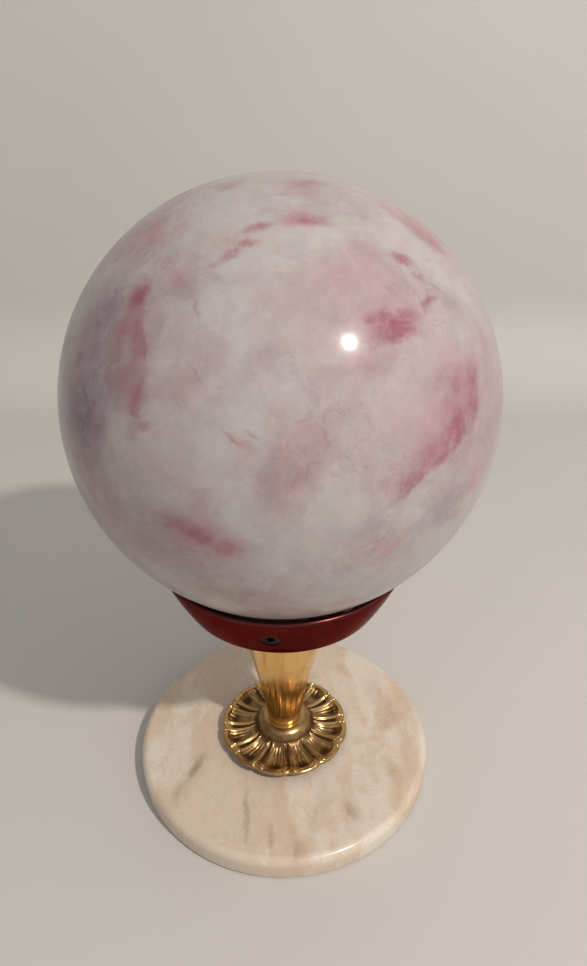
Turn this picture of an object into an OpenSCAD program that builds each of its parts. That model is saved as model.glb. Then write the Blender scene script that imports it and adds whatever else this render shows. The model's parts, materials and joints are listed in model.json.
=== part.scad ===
// Crystal ball on a turned stand.
// A marbled glass globe sits by its short neck in a flared metal cup, held by three
// socket screws. A brass trumpet stem, a cast rosette and a round marble base carry
// the cup, and one threaded rod clamps the stand together from cup to base.
// Millimetres, +Z up. The origin is the centre of the felt pad's underside, and the
// first socket screw faces -Y, a little towards -X.

/* [Ball] */
// Outside diameter of the glass globe
ball_d = 200; // [196:1:204]
// Wall thickness of the glass
glass_t = 3; // [2:0.5:4]
// Outside diameter of the neck under the globe
neck_d = 98; // [96:0.5:98]
// Straight length of the neck below the globe
neck_l = 16.2; // [15.8:0.2:18]

/* [Cup] */
// Radius of the cup at its lower edge
cup_foot_r = 52; // [51:0.5:54]
// Radius of the cup at its rim
cup_rim_r = 65.5; // [65:0.5:68]
// Height of the cup
cup_h = 29.3; // [28.5:0.1:29.5]
// How far the flared wall bows outwards at half its height
cup_bow = 0.9; // [0:0.1:1.5]
// Radius of the rounded lower edge
cup_edge_r = 3; // [1:0.5:3]
// Thickness of the cup's flared wall
cup_wall_t = 2; // [1.5:0.1:2.2]
// Thickness of the cup's floor
cup_floor_t = 2.5; // [2:0.1:3]
// Radius of the bead rolled round the rim
cup_lip_r = 1.3; // [1:0.1:1.3]
// Thickness of the rubber ring under the neck
seat_t = 2; // [1.5:0.5:3]

/* [Retaining screws] */
// Number of screws round the cup
screw_count = 3; // [3:1:3]
// Direction of the first screw, counted from +X towards +Y
screw_first_angle = -96; // [-180:1:180]
// Height of the screws above the underside of the cup
screw_level = 14.1; // [14:0.1:14.8]
// Thread radius of a screw (M6)
screw_r = 3; // [3:0.5:3]
// Length of a screw
screw_l = 6.5; // [6:0.5:7]
// Outside radius of a threaded insert in the cup wall
insert_r = 4.5; // [4:0.1:4.5]
// Thickness of the soft pad between a screw and the neck
pad_t = 2; // [1.5:0.1:2]
// Radius of a soft pad
pad_r = 2.6; // [2.2:0.1:2.8]

/* [Stem] */
// Height of the trumpet stem
stem_h = 95.6; // [90:0.1:105]
// Radius of the stem at its foot
stem_foot_r = 10; // [9:0.5:11]
// How much wider the stem is at its top than at its foot
stem_flare = 20; // [16:0.1:24]
// Power that shapes the flare (1 is a straight cone)
stem_power = 1.25; // [1.2:0.05:1.8]
// Thickness of the spun brass
stem_wall_t = 1.5; // [1:0.1:2]

/* [Rosette] */
// Radius of the rosette over its petals
rosette_r = 38.4; // [36:0.1:40]
// Height of the rosette with its domed hub
rosette_h = 14; // [13:0.5:15]
// Number of petals
petal_count = 12; // [8:1:16]
// Direction of a gap between two petals, counted from +X towards +Y
petal_gap_angle = -85; // [-90:1:-60]

/* [Base] */
// Radius of the marble disc
base_r = 87; // [80:0.5:95]
// Thickness of the marble disc
base_t = 12.5; // [12:0.5:20]
// Radius of the rounded upper edge
base_edge_r = 4.5; // [3:0.5:6]
// Bevel round the lower edge
base_arris = 1; // [0.5:0.1:2]
// Thickness of the felt pad
felt_t = 1; // [0.8:0.1:3]
// How far the felt stops short of the marble's edge
felt_inset = 5; // [3:0.5:10]

/* [Tie rod and nuts] */
// Radius of the threaded rod (M8)
rod_r = 4; // [4:0.5:4]
// Width of the nuts across flats
nut_af = 13; // [13:0.5:13]
// Height of the nut in the cup
cup_nut_h = 6.5; // [6:0.1:6.8]
// Height of the thin nut in the base
base_nut_h = 4; // [3.5:0.1:4]
// Depth of the recess for the nut under the marble
recess_depth = 7; // [6.8:0.1:7.5]
// Radius of that recess
recess_r = 14; // [13.5:0.5:20]

/* [Hidden] */
$fn = 96;
ball_r = ball_d / 2;
neck_r = neck_d / 2;
contact_gap = 0.2;      // left between the neck and the rubber ring under it
fit_gap = 0.05;         // radial clearance of pieces that turn or slide in a bore
rod_clearance = 0.4;    // radial clearance of the plain holes along the rod
washer_t = 1.6;
washer_r = 12;
spring_washer_t = 2;
spring_washer_r = 7.4;
tooth_washer_t = 0.8;
tooth_washer_r = 7.5;
tooth_count = 10;
rosette_gasket_t = 0.5;
rosette_gasket_r = 26;
bush_t = 4;
foot_bush_h = 9;
curve_steps = 24;       // straight pieces in one drawn curve
cut = 1;                // how far a cutting shape runs past the solid it cuts

// Heights of the stacked pieces, from the table up
base_z = felt_t;
base_top_z = base_z + base_t;
rosette_z = base_top_z + rosette_gasket_t;
stem_z = rosette_z + rosette_h;
cup_z = stem_z + stem_h;
floor_z = cup_z + cup_floor_t;
neck_z = floor_z + seat_t + contact_gap;
ball_z = neck_z + neck_l + sqrt(pow(ball_r, 2) - pow(neck_r, 2));
screw_z = cup_z + screw_level;
recess_z = base_z + recess_depth;
rod_bottom_z = base_z + 0.5;
rod_top_z = floor_z + washer_t + spring_washer_t + cup_nut_h + 1.5;

cup_steps = 12;         // straight pieces in the cup's bowed wall

// Radius of the cup's outside at height h above its underside
function cup_r(h) =
  cup_foot_r + (cup_rim_r - cup_foot_r) * h / cup_h + 4 * cup_bow * h * (cup_h - h) / pow(cup_h, 2);
// Lean of the wall from upright where it leaves the floor
cup_foot_lean = atan((cup_rim_r - cup_foot_r + 4 * cup_bow) / cup_h);
// The wall's thickness measured level, because the wall leans outwards
cup_wall_level_t = cup_wall_t * sqrt(1 + pow((cup_rim_r - cup_foot_r) / cup_h, 2));
// Radius of the stem's outside at height h above its foot
function stem_r(h) = stem_foot_r + stem_flare * pow(max(h, 0) / stem_h, stem_power);
// Points of an arc in the profile plane, for rotate_extrude
function arc(centre, r, from, to, steps = 8) =
  [for (i = [0 : steps])
    let (a = from + (to - from) * i / steps)
      centre + r * [cos(a), sin(a)]];

// A flat ring standing on z = 0
module ring(outer_r, inner_r, h) {
  difference() {
    cylinder(r = outer_r, h = h);
    translate([0, 0, -cut]) cylinder(r = inner_r, h = h + 2 * cut);
  }
}

// A plain hexagon nut standing on z = 0
module hex_nut(h) {
  difference() {
    cylinder(r = nut_af / 2 / cos(30), h = h, $fn = 6);
    translate([0, 0, -cut]) cylinder(r = rod_r + fit_gap, h = h + 2 * cut);
  }
}

// Puts a piece drawn along +X at the place of screw number i
module at_screw(i) {
  rotate([0, 0, screw_first_angle + (i - 1) * 360 / screw_count])
    translate([0, 0, screw_z]) children();
}

// A rod along +X from x0 to x1
module x_rod(r, x0, x1) {
  translate([x0, 0, 0]) rotate([0, 90, 0]) cylinder(r = r, h = x1 - x0);
}

// Hollow glass globe with a short straight neck, open at the bottom
module ball() {
  color("mistyrose")
    difference() {
      union() {
        translate([0, 0, ball_z]) sphere(r = ball_r);
        translate([0, 0, neck_z]) cylinder(r = neck_r, h = ball_z - neck_z);
      }
      translate([0, 0, ball_z]) sphere(r = ball_r - glass_t);
      translate([0, 0, neck_z - cut]) cylinder(r = neck_r - glass_t, h = ball_z - neck_z);
    }
}

// Rubber ring that the neck stands on
module seat_gasket() {
  color("dimgray")
    translate([0, 0, floor_z]) ring(neck_r + 0.5, neck_r - glass_t - 1, seat_t);
}

// Spun cup: flat floor, rounded lower edge, bowed wall and a bead rolled round the rim
module cup() {
  wall_top = cup_h - cup_lip_r;
  edge_run = cup_edge_r * tan((90 - cup_foot_lean) / 2);
  edge_top = edge_run * cos(cup_foot_lean);
  outside = [for (i = [1 : cup_steps])
    let (h = edge_top + (wall_top - edge_top) * i / cup_steps)
      [cup_r(h), h]];
  inside = [for (i = [cup_steps : -1 : 0])
    let (h = cup_floor_t + (wall_top - cup_floor_t) * i / cup_steps)
      [cup_r(h) - cup_wall_level_t, h]];
  color("maroon")
    difference() {
      translate([0, 0, cup_z]) {
        rotate_extrude()
          polygon(concat(
            [[0, 0]],
            arc([cup_foot_r - edge_run, cup_edge_r], cup_edge_r, -90, -cup_foot_lean),
            outside, inside,
            [[0, cup_floor_t]]));
        rotate_extrude()
          translate([cup_rim_r - cup_lip_r, cup_h - cup_lip_r]) circle(r = cup_lip_r, $fn = 32);
      }
      translate([0, 0, cup_z - cut]) cylinder(r = rod_r + rod_clearance, h = cup_floor_t + 2 * cut);
      for (i = [1 : screw_count])
        at_screw(i) x_rod(insert_r + fit_gap, neck_r + 1, cup_rim_r + cut);
    }
}

// Grub screw with a hexagon socket outside and a bore for the pad's stud inside
pad_face_x = neck_r + 0.3;
screw_x = pad_face_x + pad_t + 0.1;
stud_r = 1.2;
stud_l = 1.8;
socket_af = 3;
socket_depth = 3.5;
module retaining_screw(i) {
  color("dimgray")
    at_screw(i)
      difference() {
        x_rod(screw_r, screw_x, screw_x + screw_l);
        x_rod(stud_r + fit_gap, screw_x - cut, screw_x + stud_l + 0.2);
        translate([screw_x + screw_l - socket_depth, 0, 0])
          rotate([0, 90, 0]) cylinder(r = socket_af / 2 / cos(30), h = socket_depth + cut, $fn = 6);
      }
}
module retaining_screw_1() { retaining_screw(1); }
module retaining_screw_2() { retaining_screw(2); }
module retaining_screw_3() { retaining_screw(3); }

// Soft pad that stays still against the glass while its screw turns on the stud
module soft_pad(i) {
  color("ivory")
    at_screw(i) {
      x_rod(pad_r, pad_face_x, pad_face_x + pad_t);
      x_rod(stud_r, pad_face_x + pad_t / 2, screw_x + stud_l);
    }
}
module soft_pad_1() { soft_pad(1); }
module soft_pad_2() { soft_pad(2); }
module soft_pad_3() { soft_pad(3); }

// Blackened threaded insert, trimmed a little inside the leaning wall
insert_x = neck_r + 1.8;
insert_setback = 0.5;
module thread_insert(i) {
  trim = [for (j = [0 : cup_steps])
    let (h = cup_h * j / cup_steps)
      [cup_r(h) - insert_setback, h]];
  color("black")
    intersection() {
      at_screw(i)
        difference() {
          x_rod(insert_r, insert_x, cup_rim_r);
          x_rod(screw_r + fit_gap, insert_x - cut, cup_rim_r + cut);
        }
      translate([0, 0, cup_z])
        rotate_extrude()
          polygon(concat([[0, 0]], trim, [[0, cup_h]]));
    }
}
module thread_insert_1() { thread_insert(1); }
module thread_insert_2() { thread_insert(2); }
module thread_insert_3() { thread_insert(3); }

// Nut, spring washer and flat washer inside the cup
module cup_nut() {
  color("silver") translate([0, 0, floor_z + washer_t + spring_washer_t]) hex_nut(cup_nut_h);
}
module cup_lock_washer() {
  slit_w = 1.2;
  color("silver")
    translate([0, 0, floor_z + washer_t])
      difference() {
        ring(spring_washer_r, rod_r + fit_gap, spring_washer_t);
        translate([0, -slit_w / 2, -cut])
          cube([spring_washer_r + cut, slit_w, spring_washer_t + 2 * cut]);
      }
}
module cup_washer() {
  color("silver") translate([0, 0, floor_z]) ring(washer_r, rod_r + rod_clearance, washer_t);
}

// Steel disc that closes the wide end of the stem and centres the rod
module stem_top_bush() {
  bush_r = stem_r(stem_h - bush_t) - stem_wall_t - 0.3;
  color("gray") translate([0, 0, cup_z - bush_t]) ring(bush_r, rod_r + rod_clearance, bush_t);
}

// Spun brass trumpet, hollow, with a rounded edge at its foot
module stem() {
  foot_edge_r = 0.7;
  inner = [for (i = [curve_steps : -1 : 0])
    let (h = stem_h * i / curve_steps)
      [stem_r(h) - stem_wall_t, h]];
  outer = [for (i = [1 : curve_steps])
    let (h = stem_h * i / curve_steps)
      [stem_r(h), h]];
  foot = arc([stem_foot_r - foot_edge_r, foot_edge_r], foot_edge_r, -90, 0, 4);
  color("goldenrod")
    translate([0, 0, stem_z]) rotate_extrude() polygon(concat(foot, outer, inner));
}

// Steel bush that centres the rod in the narrow end of the stem
module stem_foot_bush() {
  color("gray")
    translate([0, 0, stem_z]) ring(stem_foot_r - stem_wall_t - 0.1, rod_r + rod_clearance, foot_bush_h);
}

// Threaded rod from the base to the cup, drawn at the thread's outside radius
module tie_rod() {
  bevel = 0.8;
  length = rod_top_z - rod_bottom_z;
  color("silver")
    translate([0, 0, rod_bottom_z]) {
      cylinder(r1 = rod_r - bevel, r2 = rod_r, h = bevel);
      translate([0, 0, bevel]) cylinder(r = rod_r, h = length - 2 * bevel);
      translate([0, 0, length - bevel]) cylinder(r1 = rod_r, r2 = rod_r - bevel, h = bevel);
    }
}

// Cast rosette: domed hub, shallow dish and a thick rim cut into petals
rosette_foot_r = 30;
hub_r = 16.5;
rim_z = 6.5;
dish_z = 4;
module rosette_turned() {
  rotate_extrude()
    polygon([
      [0, 0], [rosette_foot_r, 0], [rosette_r - 1, 3.2], [rosette_r, 4.8],
      [rosette_r - 0.6, 6.1], [rosette_r - 2, rim_z], [rosette_r - 4, 6],
      [rosette_r - 7, dish_z + 0.6], [27, dish_z], [22, dish_z + 0.9], [18.6, dish_z + 3],
      [hub_r, 10.2], [15, 12.2], [13, 13.4], [10.8, rosette_h], [0, rosette_h]
    ]);
}
module rosette_outline() {
  petal_r = rosette_r * sin(180 / petal_count) * 1.12;
  circle(r = rosette_r - 1.6);
  for (i = [0 : petal_count - 1])
    rotate([0, 0, petal_gap_angle + (i + 0.5) * 360 / petal_count])
      translate([rosette_r - petal_r, 0]) circle(r = petal_r);
}
module rosette() {
  color("darkgoldenrod")
    translate([0, 0, rosette_z])
      difference() {
        intersection() {
          rosette_turned();
          linear_extrude(height = rosette_h) rosette_outline();
        }
        translate([0, 0, -cut]) cylinder(r = rod_r + rod_clearance, h = rosette_h + 2 * cut);
      }
}

// Thin fibre washer that keeps the rosette off the polished marble
module rosette_gasket() {
  color("black")
    translate([0, 0, base_top_z]) ring(rosette_gasket_r, rod_r + rod_clearance, rosette_gasket_t);
}

// Marble disc with a rounded upper edge, a rod hole and a recess for the nut
module marble_base() {
  color("bisque")
    difference() {
      translate([0, 0, base_z])
        rotate_extrude()
          polygon(concat(
            [[0, 0], [base_r - base_arris, 0], [base_r, base_arris]],
            arc([base_r - base_edge_r, base_t - base_edge_r], base_edge_r, 0, 90, 12),
            [[0, base_t]]));
      translate([0, 0, base_z - cut]) cylinder(r = rod_r + 1, h = base_t + 2 * cut);
      translate([0, 0, base_z - cut]) cylinder(r = recess_r, h = recess_depth + cut);
    }
}

// Washer, toothed lock washer and thin nut in the recess
module base_washer() {
  color("silver") translate([0, 0, recess_z - washer_t]) ring(washer_r, rod_r + rod_clearance, washer_t);
}
module base_lock_washer() {
  color("silver")
    translate([0, 0, recess_z - washer_t - tooth_washer_t])
      difference() {
        ring(tooth_washer_r, rod_r + rod_clearance, tooth_washer_t);
        for (i = [0 : tooth_count - 1])
          rotate([0, 0, i * 360 / tooth_count])
            translate([tooth_washer_r, 0, -cut]) cylinder(r = 0.8, h = tooth_washer_t + 2 * cut);
      }
}
module base_nut() {
  color("silver")
    translate([0, 0, recess_z - washer_t - tooth_washer_t - base_nut_h]) hex_nut(base_nut_h);
}

// Felt disc that the whole object stands on
module felt_pad() {
  color("darkgreen") cylinder(r = base_r - felt_inset, h = felt_t);
}

ball();
seat_gasket();
cup();
retaining_screw_1();
retaining_screw_2();
retaining_screw_3();
soft_pad_1();
soft_pad_2();
soft_pad_3();
thread_insert_1();
thread_insert_2();
thread_insert_3();
cup_nut();
cup_lock_washer();
cup_washer();
stem_top_bush();
stem();
stem_foot_bush();
tie_rod();
rosette();
rosette_gasket();
marble_base();
base_washer();
base_lock_washer();
base_nut();
felt_pad();
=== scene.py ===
import bpy, bmesh, json, math, random
import numpy as np
from mathutils import Matrix, Vector


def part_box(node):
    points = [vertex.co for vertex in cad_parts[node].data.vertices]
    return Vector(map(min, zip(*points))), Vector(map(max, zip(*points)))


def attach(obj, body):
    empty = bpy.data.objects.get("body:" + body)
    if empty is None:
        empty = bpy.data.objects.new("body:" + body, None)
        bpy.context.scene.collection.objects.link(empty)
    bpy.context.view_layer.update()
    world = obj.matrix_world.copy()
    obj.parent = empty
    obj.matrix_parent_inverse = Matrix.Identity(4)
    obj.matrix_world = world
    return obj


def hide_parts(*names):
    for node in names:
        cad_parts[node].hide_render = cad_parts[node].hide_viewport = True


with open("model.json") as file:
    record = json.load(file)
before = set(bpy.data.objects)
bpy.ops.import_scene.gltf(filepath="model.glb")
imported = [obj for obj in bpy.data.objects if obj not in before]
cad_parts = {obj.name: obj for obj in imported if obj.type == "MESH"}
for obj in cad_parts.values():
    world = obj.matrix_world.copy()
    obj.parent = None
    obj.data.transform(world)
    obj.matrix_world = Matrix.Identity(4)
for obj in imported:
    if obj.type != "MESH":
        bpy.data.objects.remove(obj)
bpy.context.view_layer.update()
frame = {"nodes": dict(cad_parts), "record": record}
mm = 0.001
axisUp = Vector((0, 0, 1))
print("frame loaded:", len(frame["nodes"]), "nodes")


def addNode(tree, kind, **settings):
    node = tree.nodes.new(kind)
    for key, value in settings.items():
        setattr(node, key, value)
    return node


def feed(tree, socket, value):
    if isinstance(value, bpy.types.NodeSocket):
        tree.links.new(value, socket)
    else:
        socket.default_value = value


def calc(tree, operation, first, second=None, clamp=False):
    node = addNode(tree, "ShaderNodeMath", operation=operation, use_clamp=clamp)
    for socket, value in zip(node.inputs, (first, second)):
        if value is not None:
            feed(tree, socket, value)
    return node.outputs[0]


def vectorCalc(tree, operation, first, second=None, scale=None):
    node = addNode(tree, "ShaderNodeVectorMath", operation=operation)
    feed(tree, node.inputs[0], first)
    if second is not None:
        feed(tree, node.inputs[1], second)
    if scale is not None:
        feed(tree, node.inputs["Scale"], scale)
    return node.outputs["Value" if operation in {"DOT_PRODUCT", "LENGTH", "DISTANCE"} else "Vector"]


def blendRange(tree, value, low, high, outLow=0.0, outHigh=1.0):
    node = addNode(tree, "ShaderNodeMapRange", interpolation_type="SMOOTHSTEP")
    for name, given in (("Value", value), ("From Min", low), ("From Max", high),
                        ("To Min", outLow), ("To Max", outHigh)):
        feed(tree, node.inputs[name], given)
    return node.outputs["Result"]


def mixColour(tree, factor, first, second):
    node = addNode(tree, "ShaderNodeMix", data_type="RGBA")
    feed(tree, node.inputs[0], factor)
    feed(tree, node.inputs[6], first)
    feed(tree, node.inputs[7], second)
    return node.outputs[2]


def noise(tree, place, scale, detail=3.0, roughness=0.5, distortion=0.0, colour=False):
    node = addNode(tree, "ShaderNodeTexNoise")
    feed(tree, node.inputs["Vector"], place)
    for name, value in (("Scale", scale), ("Detail", detail), ("Roughness", roughness),
                        ("Distortion", distortion)):
        feed(tree, node.inputs[name], value)
    return node.outputs["Color" if colour else "Fac"]


def newGroup(name, inputs, outputs):
    # inputs and outputs: (name, socket type, default)
    tree = bpy.data.node_groups.new(name, "ShaderNodeTree")
    for label, kind, default in inputs:
        socket = tree.interface.new_socket(name=label, in_out="INPUT", socket_type=kind)
        if default is not None:
            socket.default_value = default
    for label, kind in outputs:
        tree.interface.new_socket(name=label, in_out="OUTPUT", socket_type=kind)
    return tree, addNode(tree, "NodeGroupInput").outputs, addNode(tree, "NodeGroupOutput").inputs


def placeGroup(tree, group, **values):
    node = addNode(tree, "ShaderNodeGroup", node_tree=group)
    for name, value in values.items():
        feed(tree, node.inputs[name], value)
    return node.outputs


def newMaterial(name, **fixed):
    material = bpy.data.materials.new(name)
    material.use_nodes = True
    tree = material.node_tree
    shader = tree.nodes["Principled BSDF"]
    for label, value in fixed.items():
        shader.inputs[label.replace("_", " ")].default_value = value
    place = addNode(tree, "ShaderNodeTexCoord").outputs["Object"]
    return material, tree, shader, place


def bump(tree, shader, height, strength, distance):
    node = addNode(tree, "ShaderNodeBump")
    feed(tree, node.inputs["Height"], height)
    node.inputs["Strength"].default_value = strength
    node.inputs["Distance"].default_value = distance
    tree.links.new(node.outputs["Normal"], shader.inputs["Normal"])


def makeStreakGroup():
    # one soft-edged streak of colour, in the globe's glass or on the marble's face
    tree, given, result = newGroup("glassStreak", [
        ("Place", "NodeSocketVector", None), ("Along", "NodeSocketVector", None),
        ("Across", "NodeSocketVector", None), ("Outward", "NodeSocketVector", None),
        ("Feather", "NodeSocketFloat", 1.0), ("Core", "NodeSocketFloat", 0.3),
        ("Strength", "NodeSocketFloat", 1.0)], [("Mask", "NodeSocketFloat")])
    along = vectorCalc(tree, "DOT_PRODUCT", given["Place"], given["Along"])
    across = vectorCalc(tree, "DOT_PRODUCT", given["Place"], given["Across"])
    lowSide = calc(tree, "DIVIDE", calc(tree, "MINIMUM", across, 0.0), given["Feather"])
    across = calc(tree, "ADD", calc(tree, "MAXIMUM", across, 0.0), lowSide)
    reach = calc(tree, "SQRT", calc(tree, "ADD", calc(tree, "MULTIPLY", along, along),
                                    calc(tree, "MULTIPLY", across, across)))
    inside = blendRange(tree, reach, given["Core"], 1.0, 1.0, 0.0)
    facing = calc(tree, "GREATER_THAN",
                  vectorCalc(tree, "DOT_PRODUCT", given["Place"], given["Outward"]), 0.2)
    mask = calc(tree, "MULTIPLY", calc(tree, "MULTIPLY", inside, facing), given["Strength"])
    tree.links.new(mask, result["Mask"])
    return tree


def makeTurningGroup():
    # fine rings left by turning or spinning about the upright axis
    tree, given, result = newGroup("turningLines", [
        ("Place", "NodeSocketVector", None), ("Pitch", "NodeSocketFloat", 0.0006),
        ("Waver", "NodeSocketFloat", 0.15)], [("Height", "NodeSocketFloat")])
    split = addNode(tree, "ShaderNodeSeparateXYZ")
    tree.links.new(given["Place"], split.inputs[0])
    radius = calc(tree, "SQRT", calc(tree, "ADD",
                  calc(tree, "MULTIPLY", split.outputs[0], split.outputs[0]),
                  calc(tree, "MULTIPLY", split.outputs[1], split.outputs[1])))
    travel = calc(tree, "DIVIDE", calc(tree, "ADD", radius, split.outputs[2]), given["Pitch"])
    wander = calc(tree, "MULTIPLY", noise(tree, given["Place"], 30.0), given["Waver"])
    track = addNode(tree, "ShaderNodeCombineXYZ")
    tree.links.new(calc(tree, "ADD", travel, wander), track.inputs[2])
    tree.links.new(noise(tree, track.outputs[0], 1.0, 4.0, 0.7), result["Height"])
    return tree


def makeWearGroup():
    # small marks, smudges and fine scratches: Marks for roughness, Height for bump
    tree, given, result = newGroup("handlingMarks", [
        ("Place", "NodeSocketVector", None), ("Size", "NodeSocketFloat", 40.0),
        ("Amount", "NodeSocketFloat", 0.5)],
        [("Marks", "NodeSocketFloat"), ("Height", "NodeSocketFloat")])
    smudge = blendRange(tree, noise(tree, given["Place"], given["Size"], 4.0, 0.6, 0.4), 0.45, 0.75)
    stretch = addNode(tree, "ShaderNodeMapping")
    tree.links.new(given["Place"], stretch.inputs["Vector"])
    stretch.inputs["Rotation"].default_value = (0.5, 0.3, 0.8)
    stretch.inputs["Scale"].default_value = (12, 1.2, 1)
    scratch = blendRange(tree, noise(tree, stretch.outputs[0], 260.0, 2.0, 0.8), 0.68, 0.74)
    marks = calc(tree, "ADD", calc(tree, "MULTIPLY", smudge, given["Amount"]),
                 calc(tree, "MULTIPLY", scratch, given["Amount"]), clamp=True)
    tree.links.new(marks, result["Marks"])
    tree.links.new(calc(tree, "MULTIPLY", scratch, -1.0), result["Height"])
    return tree


streakGroup = makeStreakGroup()
turningGroup = makeTurningGroup()
wearGroup = makeWearGroup()
print("shared effects built")


globe = {
    "centre": Vector((0, 0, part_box("ball")[1].z - (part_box("ball")[1].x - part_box("ball")[0].x) / 2)),
    "radius": (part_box("ball")[1].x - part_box("ball")[0].x) / 2,
    "chalk": (0.415, 0.384, 0.380, 1),
    "milk": (0.400, 0.310, 0.318, 1),
    "rose": (0.385, 0.170, 0.185, 1),
    "magenta": (0.265, 0.070, 0.112, 1),
    "mauve": (0.235, 0.165, 0.190, 1),
    "thread": (0.24, 0.100, 0.130, 1),
}

# Streaks by direction from the globe's centre: azimuth and elevation in degrees, tilt of the
# long side above level, half length and half width in degrees, feather (width of the lower
# side against the upper), core (twice the share with full colour) and strength.
magentaStreaks = [
    (-60.5, 3.6, 32, 10.5, 5.0, 0.24, 0.15, 0.75),  # long hook on the right
    (-53.5, 7.2, 27, 10.5, 7.0, 0.22, 0.15, 0.85),
    (-46.5, 10.6, 30, 9.5, 8.5, 0.22, 0.20, 0.95),
    (-41.0, 15.5, 70, 9.5, 8.0, 0.26, 0.25, 0.85),
    (-46.5, 20.5, 84, 8.0, 5.4, 0.80, 0.10, 0.65),
    (-65.3, 36.6, -2, 3.2, 2.0, 0.80, 0.40, 0.90),  # dark pair on the upper right
    (-61.8, 33.6, 2, 6.0, 3.2, 0.70, 0.60, 1.00),
    (-57.2, 36.4, -5, 3.8, 1.8, 1.0, 0.20, 0.75),
    (-49.3, 49.5, -17, 3.0, 1.6, 1.0, 0.30, 1.00),
    (-58.4, 42.7, -59, 2.6, 1.3, 1.0, 0.10, 0.70),
    (-46.0, 44.7, -48, 1.6, 1.4, 1.0, 0.10, 0.60),
    (-47.4, 38.0, 28, 3.6, 1.1, 1.0, 0.10, 0.70),
    (-131.5, 40.0, 91, 4.2, 3.2, 0.70, 0.30, 0.95),  # upright streak on the left
    (-125.5, 32.7, 116, 9.0, 3.8, 0.22, 0.15, 0.65),
    (-121.6, 19.1, 85, 6.5, 3.0, 0.60, 0.20, 0.75),
    (-131.6, 32.5, 87, 5.5, 2.8, 1.0, 0.10, 0.55),
    (-120.2, 15.1, 23, 3.0, 1.1, 1.0, 0.10, 0.60),
    (-97.7, 60.7, 32, 3.2, 1.2, 1.0, 0.20, 0.85),  # broken row of dashes near the top
    (-101.6, 55.9, 22, 2.3, 1.2, 1.0, 0.20, 0.75),
    (-107.3, 52.4, 39, 2.5, 1.2, 1.0, 0.20, 0.85),
    (-110.8, 50.1, 34, 2.1, 1.0, 1.0, 0.10, 0.55),
    (-79.8, 62.8, -6, 5.6, 2.0, 0.80, 0.10, 0.75),
    (-110.1, -6.1, -19, 6.5, 3.0, 0.90, 0.20, 0.85),  # low streak on the left
    (-102.1, -9.8, 6, 3.8, 2.9, 0.90, 0.20, 0.95),
    (-106.8, -7.5, 4, 2.7, 1.5, 1.0, 0.30, 0.80),
    (-146.7, 23.1, 36, 3.2, 1.8, 1.0, 0.10, 0.60),
    (-59.9, 77.6, -7, 5.4, 3.0, 1.0, 0.10, 0.50),
    (-23.1, 52.7, -65, 7.0, 3.6, 1.0, 0.20, 0.80),
]
roseStreaks = [
    (-143.1, 54.5, 53, 10.0, 8.0, 0.90, 0.45, 0.85),
    (-138.4, 75.7, 62, 4.2, 3.5, 1.0, 0.10, 0.75),
    (-79.4, 61.6, -3, 7.0, 6.8, 0.22, 0.25, 0.85),
    (-70.4, 74.2, 0, 6.0, 8.0, 1.0, 0.10, 0.55),
    (-21.5, 57.0, -79, 12.5, 8.0, 0.80, 0.20, 0.95),
    (-68.3, 47.5, 31, 9.0, 8.0, 1.0, 0.0, 0.45),
    (-62.9, 36.7, 2, 9.0, 6.5, 0.70, 0.10, 0.75),
    (-69.1, 29.2, 6, 7.5, 4.2, 1.0, 0.0, 0.50),
    (-52.0, 11.5, 31, 16.0, 13.0, 0.20, 0.05, 0.70),
    (-119.7, 46.8, 55, 4.5, 6.1, 1.0, 0.10, 0.60),
    (-106.8, 56.6, 26, 9.5, 4.9, 1.0, 0.0, 0.55),
    (-94.0, 42.4, 12, 5.5, 3.4, 1.0, 0.0, 0.45),
    (-111.8, 24.8, 65, 7.5, 4.0, 1.0, 0.0, 0.40),
    (-86.8, 18.9, -15, 7.5, 4.5, 1.0, 0.0, 0.50),
    (-87.5, 7.0, 67, 12.0, 7.5, 1.0, 0.0, 0.45),
    (-98.9, 14.9, -35, 6.5, 2.2, 1.0, 0.0, 0.50),
    (-108.2, -8.4, -20, 12.5, 8.5, 1.0, 0.0, 0.65),
    (-131.4, -10.2, -40, 18.0, 13.0, 1.0, 0.10, 0.55),
    (-108.1, -23.7, 13, 11.0, 8.2, 1.0, 0.10, 0.65),
    (-70.4, -11.1, 21, 10.5, 6.5, 0.70, 0.0, 0.55),
    (-65.9, -13.5, 60, 5.0, 3.0, 1.0, 0.0, 0.70),
    (-40.1, -3.3, 63, 6.0, 3.5, 1.0, 0.10, 0.70),
    (-29.3, 27.3, -73, 7.0, 3.5, 1.0, 0.0, 0.45),
    (-126.9, 26.0, 100, 13.0, 7.5, 1.0, 0.10, 0.55),
]
mauveAndShadeStreaks = [
    # the first three streaks darken the globe's left quarter: partly mauve in the glass, partly painted
    # shade of the side turned from the light
    (-142.0, 32.2, 91, 13.0, 12.0, 0.90, 0.30, 0.80),  # dark quarter on the left
    (-139.5, 13.0, 70, 14.0, 11.5, 1.0, 0.40, 1.00),
    (-128.7, 25.0, 86, 14.0, 9.0, 0.90, 0.20, 0.80),
    (-117.5, 45.3, 85, 5.0, 4.4, 1.0, 0.20, 0.65),
    (-67.6, 28.0, -2, 6.0, 3.6, 1.0, 0.0, 0.45),
    (-52.0, -8.0, 30, 13.0, 8.0, 1.0, 0.0, 0.50),
    (-114.5, -4.6, -16, 8.5, 5.8, 1.0, 0.0, 0.50),
    (-120.7, 33.7, 84, 4.8, 2.6, 1.0, 0.0, 0.35),
    (-37.2, 35.8, -44, 11.0, 5.5, 1.0, 0.0, 0.40),
    (-50.4, 22.5, 0, 6.0, 4.0, 1.0, 0.0, 0.40),
    (-72.3, -6.2, 16, 9.0, 4.6, 1.0, 0.0, 0.40),
]
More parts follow.
